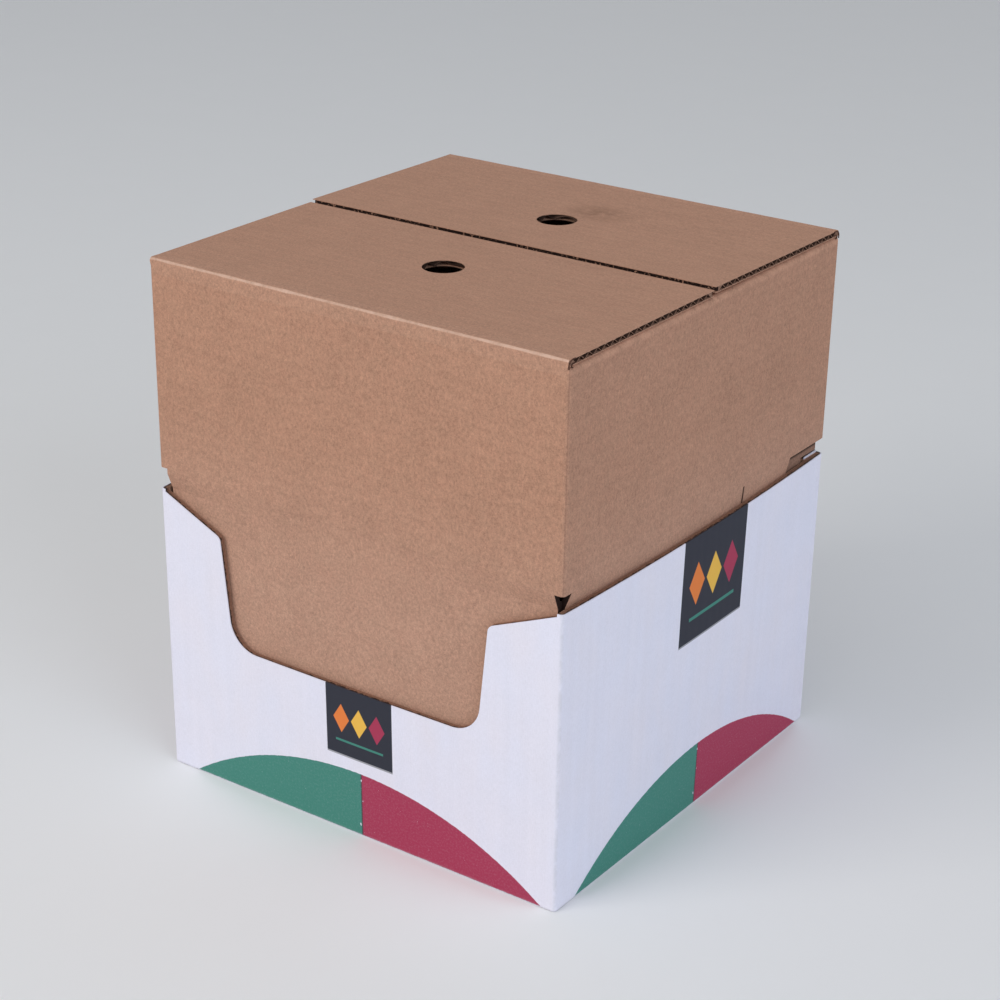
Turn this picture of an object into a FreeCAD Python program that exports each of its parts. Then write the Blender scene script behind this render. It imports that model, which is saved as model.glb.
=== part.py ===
import FreeCAD, Part
import math
import os
import Sketcher

# Shelf-ready pack of corrugated board: a white-faced display tray and a brown hood
# that stands inside it. Millimetres, +Z up, the front of the tray towards -Y, and
# the origin on the floor at the middle of the tray's base.

# Driving dimensions
SIZES = {
    "box_width": (235.0, "outside width of tray and hood, left to right"),
    "box_depth": (235.0, "outside depth of tray and hood, front to back"),
    "pack_height": (268.0, "floor to the top of the closed flaps"),
    "board": (3.0, "thickness of the corrugated board"),
    "fold": (0.8, "inside radius of a scored fold"),
    "upright_fold": (2.2, "outside radius of the upright folds"),
    "side_fold": (3.2, "outside radius of the folds over the left and right walls"),
    "tray_height": (152.0, "floor to the rim of the tray"),
    "tray_bow": (3.0, "how far the middle of a tray wall bulges out at the rim"),
    "floor_seam": (1.0, "slit between the two floor flaps of one layer"),
    "base_fold": (1.2, "outside radius of the folds along the tray's base"),
    "cut_floor": (78.7, "height of the bottom edge of the display cut-out"),
    "cut_shoulder": (136.0, "height of the corners where the shoulders end"),
    "cut_mouth": (158.0, "width of the cut-out between the shoulders' corners"),
    "cut_base": (146.4, "width of the cut-out along its bottom edge, before rounding"),
    "cut_round": (16.0, "radius of the cut-out's lower corners"),
    "shoulder_round": (4.0, "radius of the shoulders' corners"),
    "shoulder_drop": (1.4, "how far below the rim a shoulder meets the side wall"),
    "tray_tab": (13.0, "width of the tray's glue tab"),
    "tab_rise": (1.2, "how far the tray's glue tab stands above the rim"),
    "tab_bevel": (8.0, "slant cut at the ends of the glue tabs"),
    "tab_draw": (2.0, "how far that slant runs back along the end of the tray's tab"),
    "slide_gap": (0.4, "clearance between the hood's skirts and the tray's walls"),
    "stand_gap": (0.3, "clearance under the hood's skirts"),
    "slot_rise": (8.5, "how far the corner slots reach above the rim"),
    "slot_front": (5.0, "distance from a corner to the front or rear skirt's edge"),
    "skirt_gap": (0.3, "gap from a front or rear skirt's inner face to a side skirt's edge"),
    "left_slot_rise": (2.6, "how much further up the front left slot reaches"),
    "tab_clear": (2.0, "clearance round the tray's glue tab"),
    "slit_offset": (37.0, "distance of the slit in the right wall behind the middle"),
    "slit_width": (0.8, "width of that slit"),
    "slit_length": (45.0, "length of that slit"),
    "hood_tab": (32.0, "width of the hood's glue tab"),
    "hood_tab_foot": (100.0, "height of the hood's glue tab at its lower end"),
    "inner_flap": (75.0, "length of the two inner flaps"),
    "flap_slot": (1.2, "slot between an inner flap and the front or rear wall"),
    "fold_gap": (0.3, "clearance under the outer flaps"),
    "bead": (1.4, "outside rounding of the front and rear walls' top edges"),
    "flap_inset": (0.8, "how far the outer flaps' ends lie inside the side walls"),
    "flap_meet": (1.6, "slit between the two outer flaps"),
    "rear_rise": (1.2, "how far the rear flap's free edge springs up"),
    "hole_width": (20.0, "diameter of the round hole in each outer flap"),
    "hole_setback": (46.5, "distance of the holes from the middle of the slit"),
    "liner": (0.3, "thickness of a flat liner"),
    "medium": (0.22, "thickness of the fluted paper between the liners"),
    "flute_pitch": (6.5, "distance from flute to flute"),
    "flute_tip": (0.6, "radius at the tip of a flute's hollow"),
    "glue_line": (0.8, "width over which a flute is glued to its liner"),
    "flute_margin": (1.0, "solid board left at the fold"),
    "open_edge": (1.8, "depth of the open cut edge between the liners"),
    "edge_rib": (0.5, "rib between that open edge and the last flute"),
}


class Size:
    """A length in millimetres that also knows its formula in the sheet."""

    def __init__(self, value, formula):
        self.value = value
        self.formula = formula

    def __add__(self, other):
        other = as_size(other)
        return Size(self.value + other.value, f"({self.formula} + {other.formula})")

    def __sub__(self, other):
        other = as_size(other)
        return Size(self.value - other.value, f"({self.formula} - {other.formula})")

    def __mul__(self, other):
        other = as_size(other)
        return Size(self.value * other.value, f"({self.formula} * {other.formula})")

    def __truediv__(self, other):
        other = as_size(other)
        return Size(self.value / other.value, f"({self.formula} / {other.formula})")

    def __neg__(self):
        return self * -1


def as_size(number):
    """A plain number as a Size, and a Size as it is."""
    if isinstance(number, Size):
        return number
    return Size(float(number), f"({float(number)})")


def fill_sheet(doc):
    """Writes the driving dimensions to a sheet and returns them as Sizes."""
    sheet = doc.addObject("Spreadsheet::Sheet", "Sizes")
    named = {}
    for row, (alias, (value, meaning)) in enumerate(SIZES.items(), start=1):
        sheet.set(f"A{row}", meaning)
        sheet.set(f"B{row}", str(value))
        sheet.setAlias(f"B{row}", alias)
        named[alias] = Size(value, f"Sizes.{alias}")
    doc.recompute()
    return named


doc = FreeCAD.newDocument("DisplayPack")
S = fill_sheet(doc)

# Places that several pieces share
HALF_WIDTH = S["box_width"] / 2
HALF_DEPTH = S["box_depth"] / 2
FLOOR_TOP = S["board"] * 2
SKIRT_INSET = S["board"] + S["slide_gap"]
SKIRT_FOOT = FLOOR_TOP + S["stand_gap"]
SLOT_TOP = S["tray_height"] + S["slot_rise"]
WALL_TOP = S["pack_height"] - S["board"] - S["fold_gap"]
TAB_TOP = S["tray_height"] + S["tab_rise"]


# Sketching and feature helpers
def bind(thing, prop, length):
    """Ties a property to the sheet."""
    thing.setExpression(prop, as_size(length).formula)


def new_body(name):
    """A body whose label is the name of the piece."""
    body = doc.addObject("PartDesign::Body", name)
    body.Label = name
    return body


def new_sketch(body, name, plane, lift=0):
    """A sketch on one of the body's own planes, lifted along the plane's normal."""
    sketch = body.newObject("Sketcher::SketchObject", name)
    support = [part for part in body.Origin.OriginFeatures if part.Role == plane][0]
    sketch.AttachmentSupport = [(support, "")]
    sketch.MapMode = "FlatFace"
    bind(sketch, "AttachmentOffset.Base.z", lift)
    return sketch


def hold(sketch, kind, places, length):
    """Adds one dimension to a sketch and ties it to the sheet."""
    index = sketch.addConstraint(Sketcher.Constraint(kind, *places, length.value))
    sketch.setExpression(f"Constraints[{index}]", length.formula)


def pin(sketch, edge, end, x, y):
    """Ties one end of a sketch edge to a place."""
    hold(sketch, "DistanceX", (-1, 1, edge, end), as_size(x))
    hold(sketch, "DistanceY", (-1, 1, edge, end), as_size(y))


def polygon(sketch, corners):
    """A closed outline through corners (x, y), or (x, y, radius) where one is rounded."""
    places = [(as_size(corner[0]), as_size(corner[1])) for corner in corners]
    radii = [corner[2] if len(corner) > 2 else None for corner in corners]
    spots = [FreeCAD.Vector(x.value, y.value, 0) for x, y in places]
    entries = list(spots)
    exits = list(spots)
    arcs = {}
    for step, radius in enumerate(radii):
        if radius is None:
            continue
        back = (spots[step - 1] - spots[step]).normalize()
        ahead = (spots[(step + 1) % len(spots)] - spots[step]).normalize()
        half_angle = back.getAngle(ahead) / 2
        entries[step] = spots[step] + back * (radius.value / math.tan(half_angle))
        exits[step] = spots[step] + ahead * (radius.value / math.tan(half_angle))
        inward = (back + ahead).normalize()
        hub = spots[step] + inward * (radius.value / math.sin(half_angle))
        left_turn = ahead.cross(back).z > 0
        begin, finish = (entries[step], exits[step]) if left_turn else (exits[step], entries[step])
        start_angle = math.atan2(begin.y - hub.y, begin.x - hub.x)
        sweep = (math.atan2(finish.y - hub.y, finish.x - hub.x) - start_angle) % (2 * math.pi)
        circle = Part.Circle(hub, FreeCAD.Vector(0, 0, 1), radius.value)
        arc = Part.ArcOfCircle(circle, start_angle, start_angle + sweep)
        ends = (1, 2) if left_turn else (2, 1)
        arcs[step] = (sketch.addGeometry(arc, False), ends)
    lines = []
    for step in range(len(spots)):
        line = Part.LineSegment(exits[step], entries[(step + 1) % len(spots)])
        lines.append(sketch.addGeometry(line, False))
    for step, (x, y) in enumerate(places):
        before, after = lines[step - 1], lines[step]
        if step not in arcs:
            sketch.addConstraint(Sketcher.Constraint("Coincident", before, 2, after, 1))
            pin(sketch, after, 1, x, y)
            continue
        arc, (entry_end, exit_end) = arcs[step]
        sketch.addConstraint(Sketcher.Constraint("Tangent", before, 2, arc, entry_end))
        sketch.addConstraint(Sketcher.Constraint("Tangent", arc, exit_end, after, 1))
        hold(sketch, "Radius", (arc,), radii[step])
        corner = sketch.addGeometry(Part.Point(spots[step]), True)
        pin(sketch, corner, 1, x, y)
        for line in (before, after):
            sketch.addConstraint(Sketcher.Constraint("PointOnObject", corner, 1, line))


def rectangle(sketch, x0, y0, x1, y1):
    """An upright rectangle between two opposite corners."""
    polygon(sketch, [(x0, y0), (x1, y0), (x1, y1), (x0, y1)])


def bowed_rectangle(sketch, half_x, half_y, bow):
    """A rectangle about the origin whose four sides bulge outwards by bow."""
    corners = [(-half_x, -half_y), (half_x, -half_y), (half_x, half_y), (-half_x, half_y)]
    for side in range(4):
        half_side = half_x if side % 2 == 0 else half_y
        reach = half_y if side % 2 == 0 else half_x
        radius = (half_side * half_side + bow * bow) / (bow * 2)
        facing = -math.pi / 2 + side * math.pi / 2
        back = radius.value - bow.value - reach.value
        centre = FreeCAD.Vector(-back * math.cos(facing), -back * math.sin(facing), 0)
        circle = Part.Circle(centre, FreeCAD.Vector(0, 0, 1), radius.value)
        spread = math.asin(half_side.value / radius.value)
        sketch.addGeometry(Part.ArcOfCircle(circle, facing - spread, facing + spread), False)
        hold(sketch, "Radius", (side,), radius)
    for side, (x, y) in enumerate(corners):
        sketch.addConstraint(Sketcher.Constraint("Coincident", side, 2, (side + 1) % 4, 1))
        pin(sketch, side, 1, x, y)


def pad(body, sketch, length, middle=False):
    """Extrudes a sketch along its normal, or both ways from its plane."""
    feature = body.newObject("PartDesign::Pad", sketch.Name + "_pad")
    feature.Profile = sketch
    feature.SideType = "Symmetric" if middle else "One side"
    bind(feature, "Length", length)
    doc.recompute()
    return feature


def pocket(body, sketch, flip=False, middle=False, length=None):
    """Cuts a sketch through the body, against its normal unless flipped."""
    before = body.Tip.Shape.Volume
    feature = body.newObject("PartDesign::Pocket", sketch.Name + "_cut")
    feature.Profile = sketch
    feature.SideType = "Symmetric" if middle else "One side"
    feature.Reversed = flip
    if length is None:
        feature.Type = "ThroughAll"
    else:
        bind(feature, "Length", length)
    doc.recompute()
    if feature.Shape.Volume > before - 1e-3:
        raise ValueError(f"{feature.Name} removes nothing")
    return feature


def loft(body, kind, name, sketches):
    """Straight-lined loft through a stack of sketches, added to or cut from the body."""
    feature = body.newObject(kind, name)
    feature.Profile = sketches[0]
    feature.Sections = [(sketch, [""]) for sketch in sketches[1:]]
    feature.Ruled = True
    doc.recompute()
    return feature


def edge_names(feature, wanted):
    """The names of a feature's straight edges whose two ends pass a test."""
    names = []
    for index, edge in enumerate(feature.Shape.Edges, start=1):
        if len(edge.Vertexes) == 2 and wanted(edge.Vertexes[0].Point, edge.Vertexes[1].Point):
            names.append(f"Edge{index}")
    return names


def fillet(body, name, wanted, radius):
    """Rounds the edges of the body's tip that pass a test."""
    base = body.Tip
    feature = body.newObject("PartDesign::Fillet", name)
    feature.Base = (base, edge_names(base, wanted))
    bind(feature, "Radius", radius)
    doc.recompute()
    return feature


def near(a, b):
    """Whether two lengths are the same to a hundredth of a millimetre."""
    return abs(a - b) < 0.01


def upright_at(half_x, half_y):
    """Test for the upright edges at the corners of a rectangle about the origin."""

    def wanted(a, b):
        upright = near(a.x, b.x) and near(a.y, b.y)
        return upright and near(abs(a.x), half_x.value) and near(abs(a.y), half_y.value)

    return wanted


def round_off(body, name, plane, half_span, top, radius):
    """Rounds the two long edges at plus and minus half_span, height top."""
    sketch = new_sketch(body, name, plane)
    for side in (-1, 1):
        edge = (half_span * side).value
        inner = ((half_span - radius) * side).value
        low = FreeCAD.Vector(edge, (top - radius).value, 0)
        corner = FreeCAD.Vector(edge, top.value, 0)
        high = FreeCAD.Vector(inner, top.value, 0)
        upright = sketch.addGeometry(Part.LineSegment(low, corner), False)
        level = sketch.addGeometry(Part.LineSegment(corner, high), False)
        hub = FreeCAD.Vector(inner, (top - radius).value, 0)
        circle = Part.Circle(hub, FreeCAD.Vector(0, 0, 1), radius.value)
        start = 0 if side > 0 else math.pi / 2
        arc = sketch.addGeometry(Part.ArcOfCircle(circle, start, start + math.pi / 2), False)
        high_end, low_end = (2, 1) if side > 0 else (1, 2)
        sketch.addConstraint(Sketcher.Constraint("Coincident", upright, 2, level, 1))
        sketch.addConstraint(Sketcher.Constraint("Tangent", level, 2, arc, high_end))
        sketch.addConstraint(Sketcher.Constraint("Tangent", arc, low_end, upright, 1))
        pin(sketch, upright, 2, half_span * side, top)
        sketch.addConstraint(Sketcher.Constraint("Vertical", upright))
        hold(sketch, "Radius", (arc,), radius)
    return pocket(body, sketch, middle=True)


# The tray
def wall_section(body, name, level, inset, bowed):
    """One level of four walls: their outline, straight or bulging as at the tray's rim."""
    sketch = new_sketch(body, name, "XY_Plane", level)
    half_x = HALF_WIDTH - inset
    half_y = HALF_DEPTH - inset
    if bowed:
        bowed_rectangle(sketch, half_x, half_y, S["tray_bow"])
    else:
        rectangle(sketch, -half_x, -half_y, half_x, half_y)
    return sketch


def lofted_walls(body, name, levels):
    """Four walls through levels of (height, inset of the outer face, bowed or not)."""
    for face, depth, kind in (
        ("outside", 0, "PartDesign::AdditiveLoft"),
        ("inside", S["board"], "PartDesign::SubtractiveLoft"),
    ):
        sections = []
        for step, (level, inset, bowed) in enumerate(levels):
            sketch_name = f"{name}_{face}_{step}"
            sections.append(wall_section(body, sketch_name, level, as_size(inset) + depth, bowed))
        doc.recompute()
        loft(body, kind, f"{name}_{face}", sections)


def tray_shell(body):
    """Four walls that bulge more and more towards the rim."""
    lofted_walls(body, "tray_walls", [(0, 0, False), (S["tray_height"], 0, True)])
    fillet(body, "tray_folds_outside", upright_at(HALF_WIDTH, HALF_DEPTH), S["upright_fold"])
    within = upright_at(HALF_WIDTH - S["board"], HALF_DEPTH - S["board"])
    fillet(body, "tray_folds_inside", within, S["fold"])


def tray_floor(body):
    """Two layers of flaps: front and rear below, left and right above them."""
    half_board = S["board"] / 2
    reach_x = HALF_WIDTH - half_board
    reach_y = HALF_DEPTH - half_board
    floor = new_sketch(body, "tray_floor", "XY_Plane")
    rectangle(floor, -reach_x, -reach_y, reach_x, reach_y)
    pad(body, floor, FLOOR_TOP)


def floor_seams(body):
    """The slits where the two flaps of each layer meet."""
    half_seam = S["floor_seam"] / 2
    lower = new_sketch(body, "lower_seam", "XY_Plane")
    inner_x = HALF_WIDTH - S["board"]
    rectangle(lower, -inner_x, -half_seam, inner_x, half_seam)
    pocket(body, lower, flip=True, length=S["board"])
    upper = new_sketch(body, "upper_seam", "XY_Plane", FLOOR_TOP)
    inner_y = HALF_DEPTH - S["board"]
    rectangle(upper, -half_seam, -inner_y, half_seam, inner_y)
    pocket(body, upper, length=S["board"])


def tray_base_folds(body):
    """The rounded folds where walls and floor meet."""

    def along_base(a, b):
        reach_x, reach_y = HALF_WIDTH.value - S["board"].value, HALF_DEPTH.value - S["board"].value
        outer = all(abs(end.x) > reach_x or abs(end.y) > reach_y for end in (a, b))
        return outer and near(a.z, 0) and near(b.z, 0)

    fillet(body, "base_folds", along_base, S["base_fold"])


def tray_cutout(body):
    """The display cut-out in the front wall, with a sloping shoulder at each side."""
    inner_x = HALF_WIDTH - S["board"]
    above = S["tray_height"] + S["board"]
    mouth = S["cut_mouth"] / 2
    base = S["cut_base"] / 2
    shoulder_end = S["tray_height"] - S["shoulder_drop"]
    sketch = new_sketch(body, "display_cutout", "XZ_Plane")
    polygon(
        sketch,
        [
            (-inner_x, above),
            (-inner_x, shoulder_end),
            (-mouth, S["cut_shoulder"], S["shoulder_round"]),
            (-base, S["cut_floor"], S["cut_round"]),
            (base, S["cut_floor"], S["cut_round"]),
            (mouth, S["cut_shoulder"], S["shoulder_round"]),
            (inner_x, shoulder_end),
            (inner_x, above),
        ],
    )
    pocket(body, sketch, flip=True)


def tray_glue_tab(body):
    """The rear wall's tab, folded forward and glued inside the right wall."""
    near_end = HALF_DEPTH - S["board"] - S["tray_tab"]
    far_end = HALF_DEPTH - S["board"] / 2
    plane_x = HALF_WIDTH - S["board"] * 2
    tab = new_sketch(body, "tray_tab", "YZ_Plane", plane_x)
    polygon(
        tab,
        [
            (near_end, S["board"]),
            (far_end, S["board"]),
            (far_end, TAB_TOP),
            (near_end + S["tab_draw"], TAB_TOP),
            (near_end, TAB_TOP - S["tab_bevel"]),
        ],
    )
    pad(body, tab, S["board"])
    glue = new_sketch(body, "tray_tab_glue", "YZ_Plane", plane_x + S["board"] / 2)
    rectangle(glue, near_end, S["board"], far_end, TAB_TOP - S["tab_bevel"])
    pad(body, glue, S["board"])


def make_tray():
    """The display tray, one folded and glued sheet."""
    body = new_body("tray")
    tray_shell(body)
    tray_floor(body)
    tray_base_folds(body)
    floor_seams(body)
    tray_cutout(body)
    tray_glue_tab(body)
    return body


# The hood
def hood_walls(body):
    """Skirts that follow the tray's walls, then upright walls above the slots."""
    levels = [
        (SKIRT_FOOT, SKIRT_INSET, False),
        (S["tray_height"], SKIRT_INSET, True),
        (SLOT_TOP, 0, False),
    ]
    lofted_walls(body, "hood_skirts", levels)

    ring = new_sketch(body, "hood_ring", "XY_Plane", SLOT_TOP)
    rectangle(ring, -HALF_WIDTH, -HALF_DEPTH, HALF_WIDTH, HALF_DEPTH)
    inner_x = HALF_WIDTH - S["board"]
    inner_y = HALF_DEPTH - S["board"]
    rectangle(ring, -inner_x, -inner_y, inner_x, inner_y)
    pad(body, ring, WALL_TOP - SLOT_TOP)

    def above_slots(test):
        middle = (SLOT_TOP.value + WALL_TOP.value) / 2
        return lambda a, b: test(a, b) and max(a.z, b.z) > middle

    outer = above_slots(upright_at(HALF_WIDTH, HALF_DEPTH))
    fillet(body, "hood_folds", outer, S["upright_fold"])
    fillet(body, "hood_folds_inside", above_slots(upright_at(inner_x, inner_y)), S["fold"])


def corner_slots(body):
    """Slots that part the skirts at the corners, wider where the glue tabs are."""
    tab_depth = S["board"] + S["hood_tab"]
    tab_width = S["board"] * 2 + S["tab_clear"] / 2
    overrun = S["board"]
    inner = SKIRT_INSET + S["board"]
    slot_side = inner + S["skirt_gap"]
    for name, side, end, along_x, along_y, rise in (
        ("front_left", -1, -1, S["slot_front"], slot_side, S["left_slot_rise"]),
        ("front_right", 1, -1, S["slot_front"], slot_side, 0),
        ("rear_left", -1, 1, S["slot_front"], slot_side, 0),
        ("rear_right", 1, 1, tab_width, tab_depth, 0),
    ):
        sketch = new_sketch(body, f"slot_{name}", "XY_Plane", SLOT_TOP + rise)

        def at(from_corner_x, from_corner_y):
            return (
                (HALF_WIDTH - from_corner_x) * side,
                (HALF_DEPTH - from_corner_y) * end,
            )

        outer = -overrun
        polygon(
            sketch,
            [
                at(outer, outer),
                at(along_x, outer),
                at(along_x, inner),
                at(inner + overrun + S["slot_front"], inner),
                at(inner + overrun + S["slot_front"], along_y),
                at(outer, along_y),
            ],
        )
        pocket(body, sketch)


def wall_slit(body):
    """A knife cut that runs down the right skirt from the slots' height."""
    sketch = new_sketch(body, "wall_slit", "YZ_Plane")
    near_y = S["slit_offset"] - S["slit_width"] / 2
    far_y = S["slit_offset"] + S["slit_width"] / 2
    rectangle(sketch, near_y, SLOT_TOP - S["slit_length"], far_y, SLOT_TOP)
    pocket(body, sketch, flip=True)


def hood_glue_tab(body):
    """The rear wall's tab inside the right wall, cut round the top of the tray's tab."""
    over_tray_tab = TAB_TOP + S["tab_clear"] / 2
    head = WALL_TOP - S["board"] - S["tab_clear"]
    far_end = HALF_DEPTH - S["board"]
    near_end = far_end - S["hood_tab"]
    beside_tray_tab = far_end - S["tray_tab"] - S["tab_clear"]
    tab = new_sketch(body, "hood_tab", "YZ_Plane", HALF_WIDTH - S["board"] * 2)
    polygon(
        tab,
        [
            (near_end + S["tab_draw"], S["hood_tab_foot"]),
            (beside_tray_tab, S["hood_tab_foot"]),
            (beside_tray_tab, over_tray_tab),
            (far_end, over_tray_tab),
            (far_end, head),
            (near_end, head - S["tab_bevel"]),
            (near_end, S["hood_tab_foot"] + S["tab_bevel"]),
        ],
    )
    pad(body, tab, S["board"])


def inner_flaps(body):
    """The two inner flaps, folded in from the side walls under the outer ones."""
    level = WALL_TOP - S["board"]
    reach = HALF_WIDTH - S["board"] / 2
    free_x = HALF_WIDTH - S["inner_flap"]
    half_span = HALF_DEPTH - S["board"] - S["flap_slot"]
    sketch = new_sketch(body, "inner_flaps", "XY_Plane", level)
    rectangle(sketch, -reach, -half_span, -free_x, half_span)
    rectangle(sketch, free_x, -half_span, reach, half_span)
    pad(body, sketch, S["board"])
    round_off(body, "side_folds", "XZ_Plane", HALF_WIDTH, WALL_TOP, S["side_fold"])
    round_off(body, "wall_beads", "YZ_Plane", HALF_DEPTH, WALL_TOP, S["bead"])


def make_hood():
    """The hood, one folded and glued sheet but for its two outer flaps."""
    body = new_body("hood")
    hood_walls(body)
    corner_slots(body)
    wall_slit(body)
    hood_glue_tab(body)
    inner_flaps(body)
    return body


# The outer flaps
def flute_hollow(sketch, centre_y, wide_z, tip_z):
    """One hollow beside the fluted paper: wide at the liner and round at the tip."""
    downwards = tip_z.value < wide_z.value
    first = sketch.GeometryCount
    tip = S["flute_tip"]
    half_mouth = (S["flute_pitch"] - S["glue_line"]) / 2
    turn = 1 if downwards else -1
    round_z = tip_z + tip * turn
    mouth_left = FreeCAD.Vector((centre_y - half_mouth).value, wide_z.value, 0)
    mouth_right = FreeCAD.Vector((centre_y + half_mouth).value, wide_z.value, 0)
    hub = FreeCAD.Vector(centre_y.value, round_z.value, 0)

    # The flank leaves the mouth's corner and touches the tip's circle
    away = mouth_right - hub
    lean = math.acos(tip.value / away.Length)
    aim = math.atan2(away.y, away.x)
    touch = aim - lean * turn
    spot = FreeCAD.Vector(math.cos(touch), math.sin(touch), 0) * tip.value
    right = hub + spot
    left = hub + FreeCAD.Vector(-spot.x, spot.y, 0)

    sketch.addGeometry(Part.LineSegment(mouth_left, mouth_right), False)
    sketch.addGeometry(Part.LineSegment(mouth_right, right), False)
    circle = Part.Circle(hub, FreeCAD.Vector(0, 0, 1), tip.value)
    begin, finish = (math.pi - touch, touch + 2 * math.pi) if downwards else (touch, math.pi - touch)
    sketch.addGeometry(Part.ArcOfCircle(circle, begin, finish), False)
    sketch.addGeometry(Part.LineSegment(left, mouth_left), False)
    right_end, left_end = (2, 1) if downwards else (1, 2)
    sketch.addConstraint(Sketcher.Constraint("Coincident", first, 2, first + 1, 1))
    sketch.addConstraint(Sketcher.Constraint("Tangent", first + 1, 2, first + 2, right_end))
    sketch.addConstraint(Sketcher.Constraint("Tangent", first + 2, left_end, first + 3, 1))
    sketch.addConstraint(Sketcher.Constraint("Coincident", first + 3, 2, first, 1))
    pin(sketch, first, 1, centre_y - half_mouth, wide_z)
    pin(sketch, first, 2, centre_y + half_mouth, wide_z)
    pin(sketch, first + 2, 3, centre_y, round_z)
    hold(sketch, "Radius", (first + 2,), tip)


def make_outer_flap(name):
    """An outer flap in its own frame: the fold's axis along X, the flap towards +Y."""
    body = new_body(name)
    half_board = S["board"] / 2
    length = HALF_DEPTH - half_board - S["flap_meet"] / 2
    half_span = HALF_WIDTH - S["flap_inset"]

    # The board with its rounded fold
    section = new_sketch(body, f"{name}_section", "YZ_Plane")
    top = half_board
    lines = [((0, top), (length, top)), ((length, top), (length, -top)), ((length, -top), (0, -top))]
    for (ax, ay), (bx, by) in lines:
        start = FreeCAD.Vector(as_size(ax).value, as_size(ay).value, 0)
        stop = FreeCAD.Vector(as_size(bx).value, as_size(by).value, 0)
        section.addGeometry(Part.LineSegment(start, stop), False)
    knuckle = Part.Circle(FreeCAD.Vector(0, 0, 0), FreeCAD.Vector(0, 0, 1), half_board.value)
    section.addGeometry(Part.ArcOfCircle(knuckle, math.pi / 2, math.pi * 3 / 2), False)
    section.addConstraint(Sketcher.Constraint("Coincident", 0, 2, 1, 1))
    section.addConstraint(Sketcher.Constraint("Coincident", 1, 2, 2, 1))
    section.addConstraint(Sketcher.Constraint("Tangent", 2, 2, 3, 2))
    section.addConstraint(Sketcher.Constraint("Coincident", 3, 1, 0, 1))
    section.addConstraint(Sketcher.Constraint("Coincident", 3, 3, -1, 1))
    pin(section, 0, 1, 0, top)
    pin(section, 1, 1, length, top)
    pin(section, 2, 1, length, -top)
    pad(body, section, half_span * 2, middle=True)

    # The hollows of the fluting, which run from end to end of the flap
    under_liner = half_board - S["liner"]
    over_medium = under_liner - S["medium"]
    first_y = S["flute_margin"] + S["flute_pitch"] / 2
    end_y = length - S["open_edge"] - S["edge_rib"]
    cells = new_sketch(body, f"{name}_flutes", "YZ_Plane")
    flute_hollow(cells, first_y, under_liner, -over_medium)
    flute_hollow(cells, first_y + S["flute_pitch"] / 2, -under_liner, over_medium)
    hollow = pocket(body, cells, middle=True)
    room = end_y - first_y - S["flute_pitch"]
    steps = f"round({(room / S['flute_pitch']).formula})"
    pattern = body.newObject("PartDesign::LinearPattern", f"{name}_corrugation")
    pattern.Originals = [hollow]
    pattern.Direction = (cells, ["H_Axis"])
    pattern.Mode = "Spacing"
    pattern.setExpression("Offset", f"{room.formula} / {steps}")
    pattern.setExpression("Occurrences", f"{steps} + 1")
    body.Tip = pattern
    doc.recompute()

    # The free edge, cut along a flute and open between the liners
    edge = new_sketch(body, f"{name}_edge", "YZ_Plane")
    rectangle(edge, length - S["open_edge"], -under_liner, length + S["board"], under_liner)
    pocket(body, edge, middle=True)

    # The round hole
    hole = new_sketch(body, f"{name}_hole", "XY_Plane", half_board)
    centre_y = HALF_DEPTH - half_board - S["hole_setback"]
    middle = FreeCAD.Vector(0, centre_y.value, 0)
    radius = S["hole_width"] / 2
    hole.addGeometry(Part.Circle(middle, FreeCAD.Vector(0, 0, 1), radius.value), False)
    pin(hole, 0, 3, 0, centre_y)
    hold(hole, "Radius", (0,), radius)
    pocket(body, hole)
    return body


def place_flap(body, facing, rise):
    """Sets a flap on its fold: facing 1 for the front wall, -1 for the rear wall."""
    turn = FreeCAD.Rotation(FreeCAD.Vector(0, 0, 1), 0 if facing > 0 else 180)
    springing = math.degrees(math.asin(rise / HALF_DEPTH.value))
    tilt = FreeCAD.Rotation(FreeCAD.Vector(1, 0, 0), springing)
    body.Placement = FreeCAD.Placement(FreeCAD.Vector(0, 0, 0), turn * tilt)
    bind(body, "Placement.Base.y", (S["board"] / 2 - HALF_DEPTH) * facing)
    bind(body, "Placement.Base.z", S["pack_height"] - S["board"] / 2)


def check(pieces):
    """Stops with a message where any feature failed or a piece isn't one sound solid."""
    for thing in doc.Objects:
        for state in ("Invalid", "Error"):
            if state in thing.State:
                raise ValueError(f"{thing.Name} is {state}")
    for body in pieces:
        shape = body.Shape
        if shape.isNull() or not shape.isValid() or len(shape.Solids) != 1:
            raise ValueError(f"{body.Label} isn't one valid solid")


front_flap = make_outer_flap("front_flap")
rear_flap = make_outer_flap("rear_flap")
place_flap(front_flap, 1, 0)
place_flap(rear_flap, -1, S["rear_rise"].value)
pieces = [make_tray(), make_hood(), front_flap, rear_flap]
doc.recompute()
check(pieces)

os.makedirs("parts", exist_ok=True)
for body in pieces:
    body.Shape.exportStep(f"parts/{body.Label}.step")
    box = body.Shape.BoundBox
    volume = body.Shape.Volume / 1000
    corners = [round(side, 2) for side in (box.XMin, box.YMin, box.ZMin, box.XMax, box.YMax, box.ZMax)]
    print(body.Label, "volume", round(volume, 1), "cm3, box", corners)
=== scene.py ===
"""Corrugated display pack: a printed white tray and the brown hood that stands in it.

Lengths are metres and the front of the tray looks towards -Y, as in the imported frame.
Inside the materials, lengths are millimetres.
"""

import math

import bmesh
import bpy
from bpy.props import FloatProperty, FloatVectorProperty, PointerProperty
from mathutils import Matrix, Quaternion, Vector, noise


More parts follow.
